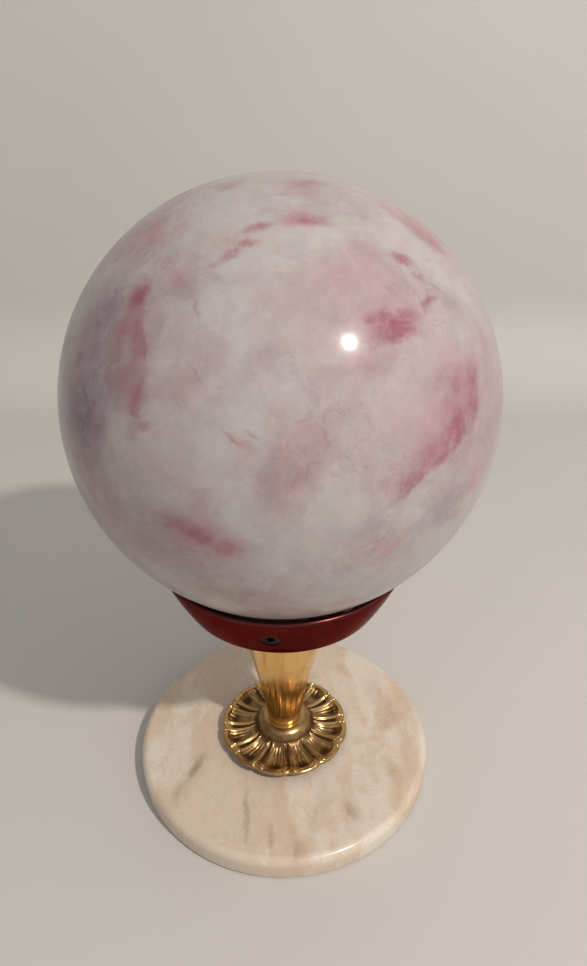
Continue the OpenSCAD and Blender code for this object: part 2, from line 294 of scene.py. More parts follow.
threadStreaks = [
    (-111.5, 40.1, -69, 5.0, 0.8, 1.0, 0.10, 0.75),
    (-108.4, 27.4, -50, 4.0, 0.7, 1.0, 0.10, 0.60),
    (-112.6, 20.6, -62, 3.6, 0.7, 1.0, 0.10, 0.50),
    (-100.4, 15.5, -40, 4.8, 0.8, 1.0, 0.10, 0.75),
    (-96.0, 16.6, -35, 2.2, 0.8, 1.0, 0.10, 0.75),
    (-85.8, 19.4, 6, 3.8, 0.7, 1.0, 0.10, 0.60),
    (-81.5, 15.5, -81, 4.4, 0.8, 1.0, 0.10, 0.60),
    (-83.9, 10.5, 19, 3.2, 0.8, 1.0, 0.10, 0.60),
    (-71.6, -10.0, 26, 9.5, 0.7, 1.0, 0.10, 0.50),
    (-41.9, 41.5, -38, 5.6, 0.9, 1.0, 0.10, 0.70),
    (-45.9, 38.3, 13, 6.0, 0.8, 1.0, 0.10, 0.65),
    (-55.1, 42.6, -44, 5.2, 0.8, 1.0, 0.10, 0.50),
    (-77.7, 65.0, -20, 3.4, 1.0, 1.0, 0.10, 0.60),
    (-139.7, 2.2, -62, 3.8, 1.2, 1.0, 0.10, 0.60),
]


def streakAxes(azimuth, elevation, tilt, halfLength, halfWidth):
    a, e, t = (math.radians(v) for v in (azimuth, elevation, tilt))
    outward = Vector((math.cos(e) * math.cos(a), math.cos(e) * math.sin(a), math.sin(e)))
    east = Vector((-math.sin(a), math.cos(a), 0))
    north = outward.cross(east)
    along = (east * math.cos(t) + north * math.sin(t)) / math.sin(math.radians(halfLength))
    across = (north * math.cos(t) - east * math.sin(t)) / math.sin(math.radians(halfWidth))
    return along, across, outward


def layStreaks(tree, place, streaks, spread):
    total = 0.0
    for azimuth, elevation, tilt, halfLength, halfWidth, feather, core, strength in streaks:
        along, across, outward = streakAxes(azimuth, elevation, tilt, halfLength * spread,
                                            halfWidth * spread)
        mask = placeGroup(tree, streakGroup, Place=place, Along=along, Across=across,
                          Outward=outward, Feather=feather, Core=core * 0.5, Strength=strength)
        total = calc(tree, "MAXIMUM", mask["Mask"], total)
    return total


def farStreaks(count, seed, longest, widest):
    # the side away from the front carries streaks of the same kind, strewn at random
    draw = random.Random(seed)
    return [(draw.uniform(-8, 195), draw.uniform(-30, 72), draw.uniform(-60, 110),
             draw.uniform(0.4, 1) * longest, draw.uniform(0.3, 1) * widest,
             draw.uniform(0.3, 1), 0.15, draw.uniform(0.5, 0.95)) for number in range(count)]


# each tint's streaks, their growth, the least colour where the fibres are thin, and the cover
washes = {
    "mauve": {"streaks": mauveAndShadeStreaks + farStreaks(4, 5, 22, 12), "spread": 1.15,
              "fine": False, "least": 0.60, "cover": 0.95},
    "rose": {"streaks": roseStreaks + farStreaks(10, 11, 20, 11), "spread": 1.25,
             "fine": False, "least": 0.30, "cover": 0.76},
    "magenta": {"streaks": magentaStreaks + farStreaks(9, 23, 13, 5), "spread": 1.45,
                "fine": True, "least": 0.42, "cover": 0.86},
}


def frayed(tree, mask, fibres, reach, low, high):
    # lets a fibrous noise decide where a soft edge holds colour
    torn = calc(tree, "MULTIPLY", calc(tree, "SUBTRACT", fibres, 0.5), reach)
    torn = blendRange(tree, calc(tree, "ADD", mask, torn), low, high)
    return calc(tree, "MULTIPLY", torn, blendRange(tree, mask, 0.0, 0.25))


def washed(tree, mask, fibres, least):
    # a soft wash that is thinner where the fibres are thin
    thin = blendRange(tree, fibres, 0.36, 0.60, least, 1.0)
    return calc(tree, "MULTIPLY", mask, thin)


def makeMarbledGlass():
    material, tree, shader, place = newMaterial(
        "marbledGlass", IOR=1.5, Specular_IOR_Level=0.06,
        Coat_Weight=0.45, Coat_Roughness=0.12, Coat_IOR=1.45)
    lift = addNode(tree, "ShaderNodeMapping")
    tree.links.new(place, lift.inputs["Vector"])
    lift.inputs["Location"].default_value = -globe["centre"] / globe["radius"]
    lift.inputs["Scale"].default_value = (1 / globe["radius"],) * 3
    ball = lift.outputs[0]

    def shift(scale, detail, amount, start):
        swirl = noise(tree, ball, scale, detail, 0.6, colour=True)
        swirl = vectorCalc(tree, "SUBTRACT", swirl, (0.5,) * 3)
        return vectorCalc(tree, "ADD", start, vectorCalc(tree, "SCALE", swirl, scale=amount))

    # the streaks were drawn out while the glass was soft, so their edges wander
    flow = shift(24.0, 3.0, 0.030, shift(7.0, 4.0, 0.085, shift(1.9, 2.0, 0.05, ball)))
    drawn = shift(2.1, 4.0, 1.1, ball)
    fibres = noise(tree, shift(5.0, 3.0, 0.30, drawn), 5.5, 7.0, 0.66)
    down = noise(tree, shift(9.0, 3.0, 0.12, ball), 11.0, 6.0, 0.7)
    clouds = noise(tree, drawn, 1.6, 6.0, 0.62)
    veil = noise(tree, shift(3.0, 4.0, 0.5, ball), 3.4, 5.0, 0.6)
    colour = mixColour(tree, blendRange(tree, clouds, 0.36, 0.62), globe["chalk"], globe["milk"])
    colour = mixColour(tree, blendRange(tree, veil, 0.46, 0.72, 0.0, 0.32), colour, globe["mauve"])
    fine = noise(tree, shift(6.0, 5.0, 0.25, ball), 8.0, 6.0, 0.62)
    for tint, wash in washes.items():
        mask = layStreaks(tree, flow, wash["streaks"], wash["spread"])
        mask = washed(tree, mask, fine if wash["fine"] else fibres, wash["least"])
        colour = mixColour(tree, calc(tree, "MULTIPLY", mask, wash["cover"]), colour, globe[tint])
    threads = frayed(tree, layStreaks(tree, flow, threadStreaks, 1.15), down, 1.0, 0.0, 1.3)
    colour = mixColour(tree, calc(tree, "MULTIPLY", threads, 0.62), colour, globe["thread"])
    # faint wisps: level lines of a folded noise, only in patches
    line = blendRange(tree, calc(tree, "ABSOLUTE", calc(tree, "SUBTRACT", fibres, 0.5)),
                      0.0, 0.022, 1.0, 0.0)
    patches = blendRange(tree, noise(tree, ball, 3.1, 2.0), 0.50, 0.66)
    wisps = calc(tree, "MULTIPLY", calc(tree, "MULTIPLY", line, patches), 0.30)
    colour = mixColour(tree, wisps, colour, globe["thread"])
    grain = blendRange(tree, down, 0.25, 0.75, 0.92, 1.07)
    tone = addNode(tree, "ShaderNodeHueSaturation")
    tree.links.new(grain, tone.inputs["Value"])
    tree.links.new(colour, tone.inputs["Color"])
    tree.links.new(tone.outputs[0], shader.inputs["Base Color"])
    wear = placeGroup(tree, wearGroup, Place=place, Size=28.0, Amount=0.35)
    tree.links.new(blendRange(tree, wear["Marks"], 0.0, 1.0, 0.30, 0.45), shader.inputs["Roughness"])
    bump(tree, shader, noise(tree, ball, 3.0, 2.0), 0.05, 0.002)
    return material


def makeRedLacquer():
    material, tree, shader, place = newMaterial(
        "redLacquer", Metallic=0.97, Specular_Tint=(0.55, 0.26, 0.24, 1), Coat_Weight=0.05,
        Coat_Roughness=0.08, Coat_IOR=1.4)
    lines = placeGroup(tree, turningGroup, Place=place, Pitch=0.0009, Waver=0.4)
    tone = noise(tree, place, 14.0, 3.0)
    deep = mixColour(tree, blendRange(tree, tone, 0.3, 0.7), (0.075, 0.0210, 0.0190, 1),
                     (0.135, 0.0300, 0.0270, 1))
    colour = mixColour(tree, blendRange(tree, lines["Height"], 0.45, 0.7, 0.0, 0.40), deep,
                       (0.215, 0.042, 0.039, 1))
    tree.links.new(colour, shader.inputs["Base Color"])
    wear = placeGroup(tree, wearGroup, Place=place, Size=60.0, Amount=0.5)
    tree.links.new(blendRange(tree, wear["Marks"], 0.0, 1.0, 0.24, 0.40), shader.inputs["Roughness"])
    bump(tree, shader, lines["Height"], 0.12, 0.0003)
    return material


def makePolishedBrass():
    material, tree, shader, place = newMaterial("polishedBrass", Metallic=1.0)
    lines = placeGroup(tree, turningGroup, Place=place, Pitch=0.0005, Waver=0.2)
    wear = placeGroup(tree, wearGroup, Place=place, Size=55.0, Amount=0.6)
    stain = blendRange(tree, noise(tree, place, 45.0, 5.0, 0.6), 0.50, 0.80)
    colour = mixColour(tree, stain, (0.82, 0.57, 0.25, 1), (0.60, 0.36, 0.13, 1))
    tree.links.new(colour, shader.inputs["Base Color"])
    rough = calc(tree, "ADD", blendRange(tree, wear["Marks"], 0.0, 1.0, 0.13, 0.28),
                 calc(tree, "MULTIPLY", stain, 0.08))
    tree.links.new(rough, shader.inputs["Roughness"])
    bump(tree, shader, lines["Height"], 0.06, 0.0002)
    return material


def makeAntiqueBrass():
    # dark patina in the hollows, darker on the hub's sides and round the rim, rubbed bright on the
    # ridges, painted shade on the underside; all of it is painted on the rosette's mesh as an attribute
    material, tree, shader, place = newMaterial("antiqueBrass", Metallic=1.0)
    hollow = addNode(tree, "ShaderNodeAttribute", attribute_name="hollow").outputs["Fac"]
    # patina and painted shade from the mesh, with fine grime noise over all
    grimeAndShade = calc(tree, "ADD", hollow, calc(tree, "MULTIPLY",
                 calc(tree, "SUBTRACT", noise(tree, place, 260.0, 4.0, 0.65), 0.5), 0.5), clamp=True)
    worn = mixColour(tree, blendRange(tree, noise(tree, place, 70.0, 4.0), 0.35, 0.7),
                     (0.58, 0.37, 0.165, 1), (0.42, 0.245, 0.10, 1))
    colour = mixColour(tree, blendRange(tree, grimeAndShade, 0.10, 0.80), worn, (0.085, 0.046, 0.020, 1))
    tree.links.new(colour, shader.inputs["Base Color"])
    tree.links.new(blendRange(tree, grimeAndShade, 0.1, 0.9, 0.20, 0.48), shader.inputs["Roughness"])
    cast = calc(tree, "ADD", noise(tree, place, 900.0, 3.0, 0.6),
                calc(tree, "MULTIPLY", noise(tree, place, 220.0, 2.0), 1.5))
    bump(tree, shader, cast, 0.25, 0.00018)
    return material


marbleTones = {
    "cream": (0.625, 0.515, 0.405, 1),
    "flesh": (0.600, 0.455, 0.350, 1),
    "sand": (0.47, 0.340, 0.230, 1),
    "pale": (0.690, 0.610, 0.525, 1),
    "veinAndShadow": (0.25, 0.155, 0.080, 1),
    "rust": (0.58, 0.270, 0.150, 1),
}

# Soft veins, and a patch of painted shadow at the far left edge of the top: place of the middle in mm,
# turn of the long side in degrees, half length and half width in mm, strength.
veinsAndShadow = [(-54, -29, -111, 22, 5.0, 0.95), (-60, -44, -114, 16, 8.0, 0.55), (-55, -31, -111, 26, 12, 0.22),
         (-22, -56, -90, 27, 3.0, 0.85), (-8, -70, -83, 13, 3.6, 0.60), (20, -56, -111, 26, 8.0, 0.35),
         (36, -56, -68, 13, 6.0, 0.75), (37, -54, -75, 20, 11, 0.25), (7, -79, -103, 9, 5.0, 0.50),
         (64, -34, -84, 13, 6.0, 0.40), (58, 30, -80, 22, 9.0, 0.25),
         # the first mark on the next line, at (-71, 50), is painted shadow darkening the far left edge of
         # the top; the rest are veins
         (-71, 50, 44, 24, 9.0, 0.45), (-61, 9, 52, 20, 6.0, 0.30), (67, 15, -76, 18, 4.0, 0.25)]
rustSpots = [(50, 5, -87, 10, 4.0, 0.75), (40, 52, -60, 14, 4.0, 0.35), (-30, 66, 30, 12, 4.0, 0.35)]


def layFlatMarks(tree, place, marks):
    total = 0.0
    lifted = addNode(tree, "ShaderNodeSeparateXYZ")
    tree.links.new(place, lifted.inputs[0])
    for x, y, turn, halfLength, halfWidth, strength in marks:
        flat = addNode(tree, "ShaderNodeCombineXYZ")
        tree.links.new(calc(tree, "SUBTRACT", lifted.outputs[0], x * mm), flat.inputs[0])
        tree.links.new(calc(tree, "SUBTRACT", lifted.outputs[1], y * mm), flat.inputs[1])
        flat.inputs[2].default_value = 1.0
        t = math.radians(turn)
        along = Vector((math.cos(t), math.sin(t), 0)) / (halfLength * mm)
        across = Vector((-math.sin(t), math.cos(t), 0)) / (halfWidth * mm)
        mask = placeGroup(tree, streakGroup, Place=flat.outputs[0], Along=along, Across=across,
                          Outward=axisUp, Feather=1.0, Core=0.0, Strength=strength)
        total = calc(tree, "MAXIMUM", mask["Mask"], total)
    return total


def makeMarble():
    material, tree, shader, place = newMaterial(
        "creamMarble", IOR=1.5, Specular_IOR_Level=0.30, Coat_Weight=0.2, Coat_Roughness=0.15)
    drift = vectorCalc(tree, "SUBTRACT", noise(tree, place, 14.0, 3.0, 0.5, colour=True), (0.5,) * 3)
    ripple = vectorCalc(tree, "SUBTRACT", noise(tree, place, 90.0, 4.0, 0.6, colour=True), (0.5,) * 3)
    flow = vectorCalc(tree, "ADD", place, vectorCalc(tree, "SCALE", drift, scale=0.03))
    stretch = addNode(tree, "ShaderNodeMapping")
    tree.links.new(flow, stretch.inputs["Vector"])
    stretch.inputs["Rotation"].default_value = (0, 0, math.radians(-14))
    stretch.inputs["Scale"].default_value = (1.0, 0.38, 1.0)
    cloud = noise(tree, stretch.outputs[0], 18.0, 6.0, 0.6)
    colour = mixColour(tree, blendRange(tree, cloud, 0.36, 0.62), marbleTones["cream"],
                       marbleTones["flesh"])
    pale = blendRange(tree, noise(tree, stretch.outputs[0], 30.0, 5.0, 0.6), 0.50, 0.64, 0.0, 0.85)
    colour = mixColour(tree, pale, colour, marbleTones["pale"])
    sand = blendRange(tree, noise(tree, flow, 26.0, 6.0, 0.65), 0.55, 0.74, 0.0, 0.55)
    colour = mixColour(tree, sand, colour, marbleTones["sand"])
    bed = noise(tree, stretch.outputs[0], 24.0, 4.0, 0.6)
    seam = blendRange(tree, calc(tree, "ABSOLUTE", calc(tree, "SUBTRACT", bed, 0.5)),
                      0.0, 0.05, 1.0, 0.0)
    here = blendRange(tree, noise(tree, place, 11.0, 2.0), 0.52, 0.70)
    colour = mixColour(tree, calc(tree, "MULTIPLY", calc(tree, "MULTIPLY", seam, here), 0.35),
                       colour, marbleTones["sand"])
    torn = noise(tree, vectorCalc(tree, "ADD", stretch.outputs[0],
                                  vectorCalc(tree, "SCALE", ripple, scale=0.01)), 130.0, 5.0, 0.65)
    wander = vectorCalc(tree, "ADD", place, vectorCalc(tree, "SCALE", drift, scale=0.010))
    wander = vectorCalc(tree, "ADD", wander, vectorCalc(tree, "SCALE", ripple, scale=0.006))
    # veins, and the patch of painted shadow at the far left edge, in dark brown
    marks = washed(tree, layFlatMarks(tree, wander, veinsAndShadow), torn, 0.45)
    colour = mixColour(tree, calc(tree, "MULTIPLY", marks, 0.75), colour, marbleTones["veinAndShadow"])
    rust = washed(tree, layFlatMarks(tree, wander, rustSpots), torn, 0.30)
    colour = mixColour(tree, calc(tree, "MULTIPLY", rust, 0.6), colour, marbleTones["rust"])
    grains = blendRange(tree, noise(tree, place, 700.0, 3.0, 0.7), 0.35, 0.65, 0.95, 1.04)
    tone = addNode(tree, "ShaderNodeHueSaturation")
    tree.links.new(grains, tone.inputs["Value"])
    tree.links.new(colour, tone.inputs["Color"])
    tree.links.new(tone.outputs[0], shader.inputs["Base Color"])
    wear = placeGroup(tree, wearGroup, Place=place, Size=40.0, Amount=0.7)
    tree.links.new(blendRange(tree, wear["Marks"], 0.0, 1.0, 0.26, 0.42), shader.inputs["Roughness"])
    bump(tree, shader, calc(tree, "SUBTRACT", cloud, marks), 0.06, 0.0005)
    return material


def makeBlackSteel():
    material, tree, shader, place = newMaterial("blackSteel", Metallic=1.0)
    wear = placeGroup(tree, wearGroup, Place=place, Size=300.0, Amount=0.8)
    colour = mixColour(tree, wear["Marks"], (0.022, 0.021, 0.022, 1), (0.10, 0.095, 0.09, 1))
    tree.links.new(colour, shader.inputs["Base Color"])
    tree.links.new(blendRange(tree, wear["Marks"], 0.0, 1.0, 0.50, 0.30), shader.inputs["Roughness"])
    bump(tree, shader, noise(tree, place, 2500.0, 2.0), 0.15, 0.00005)
    return material


def makeZincSteel():
    material, tree, shader, place = newMaterial("zincSteel", Metallic=1.0)
    spangle = addNode(tree, "ShaderNodeTexVoronoi")
    tree.links.new(place, spangle.inputs["Vector"])
    spangle.inputs["Scale"].default_value = 420.0
    flake = blendRange(tree, spangle.outputs["Distance"], 0.0, 0.9)
    colour = mixColour(tree, flake, (0.60, 0.62, 0.66, 1), (0.47, 0.48, 0.50, 1))
    tree.links.new(colour, shader.inputs["Base Color"])
    wear = placeGroup(tree, wearGroup, Place=place, Size=200.0, Amount=0.8)
    tree.links.new(blendRange(tree, wear["Marks"], 0.0, 1.0, 0.26, 0.46), shader.inputs["Roughness"])
    bump(tree, shader, noise(tree, place, 1500.0, 3.0), 0.12, 0.00005)
    return material


def makeSoft(name, dark, light, grainScale, depth, roughness, sheen=0.0):
    # rubber, fibre, nylon and felt differ only in colour, grain and gloss
    material, tree, shader, place = newMaterial(name, Sheen_Weight=sheen)
    grain = noise(tree, place, grainScale, 4.0, 0.7)
    tree.links.new(mixColour(tree, blendRange(tree, grain, 0.3, 0.7), dark, light),
                   shader.inputs["Base Color"])
    tree.links.new(blendRange(tree, grain, 0.2, 0.8, roughness - 0.08, roughness + 0.06),
                   shader.inputs["Roughness"])
    bump(tree, shader, grain, 0.5, depth)
    return material


finishes = {
    "marbled_glass": makeMarbledGlass(),
    "red_lacquer": makeRedLacquer(),
    "polished_brass": makePolishedBrass(),
    "antique_brass": makeAntiqueBrass(),
    "marble": makeMarble(),
    "black_steel": makeBlackSteel(),
    "zinc_steel": makeZincSteel(),
    "black_rubber": makeSoft("blackRubber", (0.012, 0.012, 0.012, 1), (0.03, 0.03, 0.03, 1),
                             1600.0, 0.00008, 0.72),
    "fibre": makeSoft("blackFibre", (0.02, 0.018, 0.016, 1), (0.05, 0.045, 0.04, 1),
                      1100.0, 0.0001, 0.80),
    "ivory_nylon": makeSoft("ivoryNylon", (0.70, 0.66, 0.54, 1), (0.80, 0.76, 0.65, 1),
                            700.0, 0.00005, 0.50),
    "green_felt": makeSoft("greenFelt", (0.018, 0.06, 0.035, 1), (0.05, 0.14, 0.085, 1),
                           1400.0, 0.0004, 0.92, 0.4),
}
print("finishes built:", len(finishes))


def arcPoints(centreR, centreZ, radius, start, end, steps):
    # points of an arc in the profile plane, from one angle to the other, in degrees
    return [(centreR + radius * math.cos(math.radians(start + (end - start) * i / steps)),
             centreZ + radius * math.sin(math.radians(start + (end - start) * i / steps)))
            for i in range(steps + 1)]


def turnedMesh(name, profile, segments):
    # closed surface of a profile turned about the axis; the profile runs round the solid
    # anticlockwise, seen with the radius to the right and the height upwards
    mesh = bmesh.new()
    rings = []
    for radius, height in profile:
        if radius < 1e-7:
            rings.append([mesh.verts.new((0, 0, height))])
        else:
            rings.append([mesh.verts.new((radius * math.cos(a), radius * math.sin(a), height))
                          for a in (2 * math.pi * k / segments for k in range(segments))])
    loops = list(zip(rings, rings[1:] + rings[:1]))
    for low, high in loops:
        for k in range(segments):
            after = (k + 1) % segments
            corners = [low[k % len(low)], low[after % len(low)],
                       high[after % len(high)], high[k % len(high)]]
            corners = [v for i, v in enumerate(corners) if v is not corners[i - 1]]
            if len(corners) > 2:
                mesh.faces.new(corners)
    data = bpy.data.meshes.new(name)
    mesh.to_mesh(data)
    mesh.free()
    return data


def finishPiece(name, data, material, sharpAngle=35):
    data.shade_smooth()
    data.set_sharp_from_angle(angle=math.radians(sharpAngle))
    data.materials.clear()
    data.materials.append(material)
    piece = bpy.data.objects.new(name, data)
    bpy.context.scene.collection.objects.link(piece)
    return piece


def standFor(piece, body, slotName, *nodes):
    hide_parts(*nodes)
    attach(piece, body)
    return piece


slotOf = {part["node"]: part["material_slot"] for part in frame["record"]["subparts"]}


# globe: blown glass, with the neck run out of it in a small curve
globeCut = {"wall": 3 * mm, "neckRadius": 49 * mm, "shoulder": 2.5 * mm, "endRound": 1.2 * mm}


def makeGlobe():
    radius, centre = globe["radius"], globe["centre"].z
    neck, wall, fillet = globeCut["neckRadius"], globeCut["wall"], globeCut["shoulder"]
    endRound = globeCut["endRound"]
    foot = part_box("ball")[0].z

    def shell(sphereR, neckR, bend):
        # centre of the small curve that joins globe and neck
        joinR = neckR + bend
        joinZ = centre - math.sqrt((sphereR + bend) ** 2 - joinR ** 2)
        touch = math.degrees(math.atan2(joinZ - centre, joinR))
        return joinR, joinZ, touch

    outerR, outerZ, outerTouch = shell(radius, neck, fillet)
    innerR, innerZ, innerTouch = shell(radius - wall, neck - wall, fillet + wall)
    profile = arcPoints(neck - endRound, foot + endRound, endRound, -90, 0, 5)
    profile += arcPoints(outerR, outerZ, fillet, 180, outerTouch + 180, 8)
    profile += arcPoints(0, centre, radius, outerTouch, 90, 130)[1:-1] + [(0, centre + radius)]
    profile += [(0, centre + radius - wall)]
    profile += arcPoints(0, centre, radius - wall, 90, innerTouch, 60)[1:]
    profile += arcPoints(innerR, innerZ, fillet + wall, innerTouch + 180, 180, 8)[1:]
    profile += arcPoints(neck - wall + endRound, foot + endRound, endRound, 180, 270, 5)
    return turnedMesh("ball_glass", profile, 256)


ballGlass = finishPiece("ball_glass", makeGlobe(), finishes["marbled_glass"])
standFor(ballGlass, "ball", "marbled_glass", "ball")
print("globe made")


# cup: spun sheet with a rolled bead, three holes through the wall
cup = {"footRadius": 52 * mm, "bow": 0.9 * mm, "floor": 2.5 * mm, "wall": 2 * mm, "edge": 3 * mm,
       "lip": 1.3 * mm, "rodHole": 4.4 * mm, "screwHole": 4.55 * mm, "screwLevel": 14.1 * mm,
       "firstScrew": -96, "screws": 3, "drillRadius": 60 * mm, "drillDepth": 20 * mm}


def screwTurn(number):
    return math.radians(cup["firstScrew"] + 360 * number / cup["screws"])


def makeCup():
    low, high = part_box("cup")
    foot, rim, rimRadius = low.z, high.z, max(high.x, -low.x)
    spread, tall = rimRadius - cup["footRadius"], rim - foot
    level = cup["wall"] / math.cos(math.atan2(spread, tall))
    footLean = math.degrees(math.atan2(spread + 4 * cup["bow"], tall))
    rimLean = math.degrees(math.atan2(spread - 4 * cup["bow"], tall))

    def outside(height):
        share = (height - foot) / tall
        return cup["footRadius"] + spread * share + 4 * cup["bow"] * share * (1 - share)

    edge, lip = cup["edge"], cup["lip"]
    beadR, beadZ = rimRadius - lip, rim - lip
    floorZ = foot + cup["floor"]
    innerFoot = outside(floorZ) - level
    profile = [(cup["rodHole"], foot)]
    edgeRun = edge * math.tan(math.radians((90 - footLean) / 2))
    edgeTop = foot + edgeRun * math.cos(math.radians(footLean))
    profile += arcPoints(cup["footRadius"] - edgeRun, foot + edge, edge, -90, -footLean, 10)
    profile += [(outside(z), z) for z in
                (edgeTop + (beadZ - edgeTop) * i / 40 for i in range(1, 39))]
    profile += arcPoints(beadR, beadZ, lip, -rimLean, 180 + rimLean, 18)
    profile += [(outside(z) - level, z) for z in
                (floorZ + (beadZ - floorZ) * i / 12 for i in range(11, 0, -1))]
    profile += arcPoints(innerFoot - 0.7 * mm, floorZ + 1 * mm, 1 * mm, -footLean, -90, 4)
    profile += [(cup["rodHole"], floorZ)]
    blank = bpy.data.objects.new("cup_blank", turnedMesh("cup_blank", profile, 240))
    bpy.context.scene.collection.objects.link(blank)
    cutters = bmesh.new()
    for number in range(cup["screws"]):
        turn = screwTurn(number)
        outward = Matrix.Rotation(turn, 4, "Z")
        place = outward @ Matrix.Translation((cup["drillRadius"], 0, foot + cup["screwLevel"]))
        place = place @ Matrix.Rotation(math.pi / 2, 4, "Y")
        bmesh.ops.create_cone(cutters, cap_ends=True, segments=48, radius1=cup["screwHole"],
                              radius2=cup["screwHole"], depth=cup["drillDepth"], matrix=place)
    cutterData = bpy.data.meshes.new("cup_holes")
    cutters.to_mesh(cutterData)
    cutters.free()
    cutter = bpy.data.objects.new("cup_holes", cutterData)
    bpy.context.scene.collection.objects.link(cutter)
    holes = blank.modifiers.new("holes", "BOOLEAN")
    holes.object, holes.solver = cutter, "EXACT"
    drilled = bpy.data.meshes.new_from_object(
        blank.evaluated_get(bpy.context.evaluated_depsgraph_get()))
    bpy.data.objects.remove(blank)
    bpy.data.objects.remove(cutter)
    return finishPiece("cup_spun", drilled, finishes["red_lacquer"])


cupSpun = makeCup()
standFor(cupSpun, "stand", "red_lacquer", "cup")
print("cup made")


# stem: the trumpet widens with a power of the height
stem = {"footRadius": 10 * mm, "flare": 20 * mm, "power": 1.25, "wall": 1.5 * mm,
        "footRound": 0.7 * mm, "topRound": 0.5 * mm, "steps": 72}


def makeStem():
    low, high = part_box("stem")[0].z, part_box("stem")[1].z
    tall = high - low

    def outside(height):
        return stem["footRadius"] + stem["flare"] * max(height / tall, 0) ** stem["power"]

    steps, wall, top = stem["steps"], stem["wall"], stem["topRound"]
    profile = arcPoints(stem["footRadius"] - stem["footRound"], low + stem["footRound"],
                        stem["footRound"], -90, 0, 6)
    heights = [tall * i / steps for i in range(1, steps)]
    profile += [(outside(h), low + h) for h in heights]
    profile += arcPoints(outside(tall) - top, high - top, top, 0, 90, 4)
    profile += [(outside(h) - wall, low + h) for h in [tall] + heights[::-2]]
    profile += [(stem["footRadius"] - wall, low)]
    return turnedMesh("stem_trumpet", profile, 192)


stemTrumpet = finishPiece("stem_trumpet", makeStem(), finishes["polished_brass"])
standFor(stemTrumpet, "stand", "polished_brass", "stem")
print("stem made")


# rosette: one petal is shaped by a rule, and Geometry Nodes set twelve of them in a ring
rosette = {"petals": 12, "firstGap": -86, "across": 54, "topSteps": 128, "underSteps": 20,
           "ridgeAngle": 4.3, "ridgeWidth": 0.95, "ridgeHeight": 0.95, "flute": 0.40,
           "scoop": 1.25, "eye": 0.7, "eyeRadius": 31, "bead": 1.0, "beadRadius": 36.7,
           "endLine": 35.3, "endBow": 1.7, "endHeight": 0.45, "gapDepth": 0.25}
# turned section before the petals are pressed in: radius and height in mm over the foot
rosetteTop = [(4.4, 14.0), (10.8, 14.0), (13.2, 13.3), (15.2, 11.8), (16.4, 9.6), (17.6, 7.4),
              (19.4, 5.9), (22, 5.0), (26, 4.5), (30, 4.7), (33.4, 5.5), (35.6, 6.2), (37.2, 6.3),
              (38.15, 5.6), (38.3, 4.6)]
rosetteUnder = [(38.3, 4.6), (37.4, 3.2), (33.5, 1.2), (30, 0.1), (20, 0.0), (4.4, 0.0)]


def smoothPath(path, count):
    # points at even steps along a Catmull-Rom curve through the path
    points = np.array(path, float)
    padded = np.vstack([2 * points[0] - points[1], points, 2 * points[-1] - points[-2]])
    dense = []
    for i in range(len(points) - 1):
        p0, p1, p2, p3 = padded[i:i + 4]
        for t in np.linspace(0, 1, 24, endpoint=False):
            dense.append(0.5 * (2 * p1 + (p2 - p0) * t + (2 * p0 - 5 * p1 + 4 * p2 - p3) * t ** 2
                                + (3 * p1 - p0 - 3 * p2 + p3) * t ** 3))
    dense = np.array(dense + [points[-1]])
    length = np.r_[0, np.cumsum(np.linalg.norm(np.diff(dense, axis=0), axis=1))]
    even = np.linspace(0, length[-1], count)
    return np.stack([np.interp(even, length, dense[:, 0]), np.interp(even, length, dense[:, 1])], 1)


def step(value, low, high):
    t = np.clip((value - low) / (high - low), 0, 1)
    return t * t * (3 - 2 * t)


